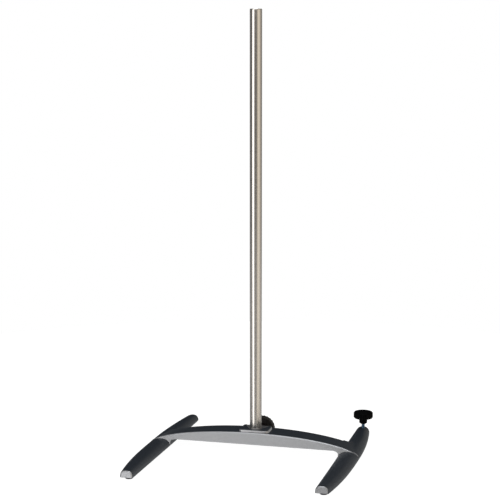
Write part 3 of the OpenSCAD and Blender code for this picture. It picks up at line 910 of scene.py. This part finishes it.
bush("clamp_bush_turned", [
    (0.00505, bush_low.y - COLUMN_Y, 0.0003), (CLAMP_BUSH_R, bush_low.y - COLUMN_Y, 0.0003),
    (CLAMP_BUSH_R, bush_high.y - 0.002 - COLUMN_Y, 0), (0.011, bush_high.y - 0.002 - COLUMN_Y, 0.0003),
    (0.011, bush_high.y - COLUMN_Y, 0.0006), (0.00505, bush_high.y - COLUMN_Y, 0.0005),
], lambda bm: lay_along_y(bm, 0, CLAMP_Z), "clamp_bush")
bush("levelling_bush_turned", [
    (0.00405, level_bush_low.z, 0.0004), (0.007, level_bush_low.z, 0.0004),
    (0.007, level_bush_high.z, 0.0003), (0.00405, level_bush_high.z, 0.0003),
], lambda bm: stand_at(bm, SCREW_X, SCREW_Y), "levelling_bush")

# ---------------------------------------------------------------- clamp knob
CLAMP_KNOB_R = 0.030
CLAMP_FLUTES = 24
knob_front = knob_low.y + 0.006 - COLUMN_Y
knob_back = knob_high.y - COLUMN_Y


def flutes(count, radius, depth, reach):
    """Shallow round grooves on a rim of that radius, fading out over reach below it."""
    def ripple(angle, r, h):
        share = min(1, max(0, (r - radius + reach) / reach))
        return -depth * share * (0.5 + 0.5 * math.cos(count * angle)) ** 1.6
    return ripple


clamp_profile = rounded([
    (0, knob_front + 0.008, 0), (0.005, knob_front + 0.008, 0), (0.005, knob_front - 0.006, 0.0003),
    (0.012, knob_front - 0.006, 0.0012), (0.012, knob_front + 0.010, 0.0015),
    (0.0262, knob_front + 0.010, 0.0025), (0.0262, knob_front + 0.0005, 0.0008), (0.0270, knob_front, 0.0006),
    (CLAMP_KNOB_R, knob_front, 0.0012), (CLAMP_KNOB_R, knob_back - 0.0005, 0.0025),
    (0.0265, knob_back, 0.0015), (0.018, knob_back, 0.0010), (0.0165, knob_back - 0.0012, 0.0010),
    (0, knob_back - 0.0012, 0),
], 5)
clamp_wheel = lathe(clamp_profile, 240, flutes(CLAMP_FLUTES, CLAMP_KNOB_R, 0.0009, 0.0028))
place(to_object("clamp_wheel", lay_along_y(clamp_wheel, 0, CLAMP_Z)),
      "clamp_screw", "knob_black", CLAMP_KNOB, "clamp_knob")

# ---------------------------------------------------------------- levelling screw's knob and foot
DISC_R = 0.0235
DISC_BOTTOM = 0.0462
HUB_R = 0.0097
COLLAR_Z = 0.0345         # underside of the knob's collar, above the cone
disc_top = disc_high.z
screw_r = (screw_high.x - screw_low.x) / 2
level_profile = rounded([
    (0, screw_high.z, 0), (screw_r, screw_high.z, 0), (screw_r, disc_low.z, 0.0002),
    (screw_r + 0.0015, disc_low.z, 0.0004), (HUB_R, COLLAR_Z, 0.0008), (HUB_R, DISC_BOTTOM, 0.0008),
    (DISC_R - 0.002, DISC_BOTTOM, 0.0010), (DISC_R, DISC_BOTTOM + 0.002, 0.0012),
    (DISC_R, disc_top - 0.002, 0.0012), (DISC_R - 0.002, disc_top, 0.0012),
    (0.015, disc_top, 0.0008), (0.0142, disc_top - 0.0008, 0.0006), (0, disc_top - 0.0008, 0),
], 5)
level_wheel = lathe(level_profile, 192, flutes(16, DISC_R, 0.0010, 0.0030))
place(to_object("levelling_wheel", stand_at(level_wheel, SCREW_X, SCREW_Y)),
      "levelling_screw", "knob_black", LEVEL_KNOB, "levelling_knob")

PAD_FLOOR = 0.0025
pad_r = (pad_high.x - pad_low.x) / 2
pad_profile = rounded([
    (0, pad_low.z, 0), (pad_r - 0.0002, pad_low.z, 0.0003), (pad_r, pad_low.z + 0.0019, 0.0006),
    (0.009, 0.0036, 0.0006), (0.007, pad_high.z, 0.0004), (0.00405, pad_high.z, 0.0003),
    (0.00405, PAD_FLOOR, 0), (0, PAD_FLOOR, 0),
], 4)
place(to_object("levelling_pad", stand_at(lathe(pad_profile, 72), SCREW_X, SCREW_Y)),
      "levelling_foot", "knob_black", LEVEL_KNOB, "levelling_foot")
sole_profile = rounded([
    (0, sole_low.z, 0), (pad_r - 0.0004, sole_low.z, 0.0005),
    (pad_r, sole_high.z, 0.0002), (0, sole_high.z, 0),
], 4)
place(to_object("levelling_rubber", stand_at(lathe(sole_profile, 72), SCREW_X, SCREW_Y)),
      "levelling_foot", "rubber_black", RUBBER, "levelling_sole")

# ---------------------------------------------------------------- CAD nodes that stay as they are
for name, node in frame["nodes"].items():
    node.data.materials.clear()
    node.data.materials.append(MATERIAL_OF[slot_of[name]])

# ---------------------------------------------------------------- floor, light and camera
VIEW_AZIMUTH = math.radians(14.66)
VIEW_PITCH = math.radians(8.55)
FLOOR_R = 1.6
LENS = 104.3            # millimetres, on a sensor 36 mm wide
CAMERA_PLACE = (0.8254, -3.1726, 0.9795)


def build_floor():
    """Round pale sheet under the stand."""
    bm = lathe([(0, 0), (FLOOR_R * 0.5, 0), (FLOOR_R, 0)], 128)
    floor = to_object("floor_sheet", bm)
    m = Recipe("floor_paper", Specular_IOR_Level=0.2)
    tone = m.noise(300, 3)
    m.colour(m.blend(m.spread(tone, 0, 1), grey(0.86), grey(0.88)))
    m.roughness(m.spread(tone, 0.75, 0.85))
    # the sheet is lit from below as well, as on a light table, so that it is white to the camera
    path = m.add("ShaderNodeLightPath").outputs
    strength = m.maths("ADD", m.maths("MULTIPLY", path["Is Diffuse Ray"], 1.5), 1.35)
    glow = m.add("ShaderNodeEmission", {"Color": (1, 1, 1, 1), "Strength": strength})
    lit = m.add("ShaderNodeMixShader", {0: 0.72, 1: m.shader.outputs[0], 2: glow.outputs[0]})
    # a polished column mirrors the sheet only faintly, so that the room still shows in it
    faint = m.maths("MULTIPLY", path["Is Glossy Ray"], 0.8)
    clear = m.add("ShaderNodeBsdfTransparent")
    mix = m.add("ShaderNodeMixShader", {0: faint, 1: lit.outputs[0], 2: clear.outputs[0]})
    m.tree.links.new(mix.outputs[0], m.tree.nodes["Material Output"].inputs["Surface"])
    floor.data.materials.append(m.material)


def build_light():
    """Studio round the stand: two tall soft boxes, a dark room between them, and light from above."""
    world = bpy.data.worlds.new("studio")
    bpy.context.scene.world = world
    world.use_nodes = True
    tree = world.node_tree
    nodes, link = tree.nodes, tree.links.new
    nodes.clear()

    def maths(operation, a, b=0.0, c=0.0):
        node = nodes.new("ShaderNodeMath")
        node.operation = operation
        for socket, value in zip(node.inputs, (a, b, c)):
            if isinstance(value, bpy.types.NodeSocket):
                link(value, socket)
            else:
                socket.default_value = value
        return node.outputs[0]

    direction = nodes.new("ShaderNodeSeparateXYZ")
    link(nodes.new("ShaderNodeTexCoord").outputs["Generated"], direction.inputs[0])
    x, y, z = direction.outputs
    # angle round the horizon from the camera's side, positive to the camera's right
    bearing = maths("SUBTRACT", maths("ARCTAN2", x, maths("MULTIPLY", y, -1)), VIEW_AZIMUTH)
    wrapped = maths("WRAP", bearing, math.pi, -math.pi)
    ramp = nodes.new("ShaderNodeValToRGB")
    ramp.color_ramp.interpolation = "EASE"
    link(maths("MULTIPLY_ADD", wrapped, 1 / (2 * math.pi), 0.5), ramp.inputs[0])
    # bearing in degrees, then the room's colour there
    stops = [
        (-180, 0.03, 0.032, 0.036), (-150, 0.05, 0.05, 0.05), (-122, 0.22, 0.215, 0.21),
        (-98, 0.05, 0.05, 0.05), (-82, 0.12, 0.12, 0.12), (-72, 0.80, 0.79, 0.78),
        (-64, 2.6, 2.55, 2.5), (-46, 2.6, 2.55, 2.5), (-34, 0.85, 0.80, 0.74),
        (-21, 0.11, 0.10, 0.09), (10, 0.10, 0.09, 0.08), (26, 0.56, 0.49, 0.39),
        (46, 1.03, 0.93, 0.78), (66, 0.98, 0.89, 0.76), (92, 0.50, 0.44, 0.37),
        (128, 0.26, 0.25, 0.24), (146, 0.30, 0.295, 0.275), (160, 0.24, 0.235, 0.225),
        (172, 0.05, 0.05, 0.05), (180, 0.03, 0.032, 0.036),
    ]
    elements = ramp.color_ramp.elements
    while len(elements) < len(stops):
        elements.new(0.5)
    for element, (degrees, r, g, b) in zip(elements, stops):
        element.position = degrees / 360 + 0.5
        element.color = (r, g, b, 1)
    # the boxes and the room end above; a pale ceiling closes the top
    upper = nodes.new("ShaderNodeMapRange")
    upper.interpolation_type = "SMOOTHSTEP"
    for name, value in (("From Min", 0.5), ("From Max", 0.85), ("To Min", 0.0), ("To Max", 1.0)):
        upper.inputs[name].default_value = value
    link(z, upper.inputs["Value"])
    ceiling = nodes.new("ShaderNodeMix")
    ceiling.data_type = "RGBA"
    link(upper.outputs[0], ceiling.inputs[0])
    link(ramp.outputs[0], ceiling.inputs[6])
    front = nodes.new("ShaderNodeMapRange")
    for name, value in (("From Min", 0.1), ("From Max", -0.5), ("To Min", 0.10), ("To Max", 1.15)):
        front.inputs[name].default_value = value
    link(y, front.inputs["Value"])
    link(front.outputs[0], ceiling.inputs[7])
    room = nodes.new("ShaderNodeBackground")
    link(ceiling.outputs[2], room.inputs[0])
    white = nodes.new("ShaderNodeBackground")
    white.inputs[0].default_value = (1, 1, 1, 1)
    mix = nodes.new("ShaderNodeMixShader")
    link(nodes.new("ShaderNodeLightPath").outputs["Is Camera Ray"], mix.inputs[0])
    link(room.outputs[0], mix.inputs[1])
    link(white.outputs[0], mix.inputs[2])
    link(mix.outputs[0], nodes.new("ShaderNodeOutputWorld").inputs[0])

    lamp = bpy.data.lights.new("overhead_box", "AREA")
    lamp.shape = "DISK"
    lamp.size = 1.8
    lamp.energy = 26
    box = bpy.data.objects.new("overhead_box", lamp)
    box.location = (0, -0.5, 2.8)
    box.visible_camera = False
    bpy.context.scene.collection.objects.link(box)


def build_camera():
    """Long lens in front of the stand, to its right, looking slightly down."""
    data = bpy.data.cameras.new("view")
    data.sensor_width = 36
    data.lens = LENS
    camera = bpy.data.objects.new("view", data)
    camera.location = CAMERA_PLACE
    ahead = Vector((
        -math.sin(VIEW_AZIMUTH) * math.cos(VIEW_PITCH),
        math.cos(VIEW_AZIMUTH) * math.cos(VIEW_PITCH),
        -math.sin(VIEW_PITCH),
    ))
    camera.rotation_euler = ahead.to_track_quat("-Z", "Y").to_euler()
    bpy.context.scene.collection.objects.link(camera)
    bpy.context.scene.camera = camera


build_floor()
build_light()
build_camera()
bpy.context.scene.view_settings.view_transform = "Standard"
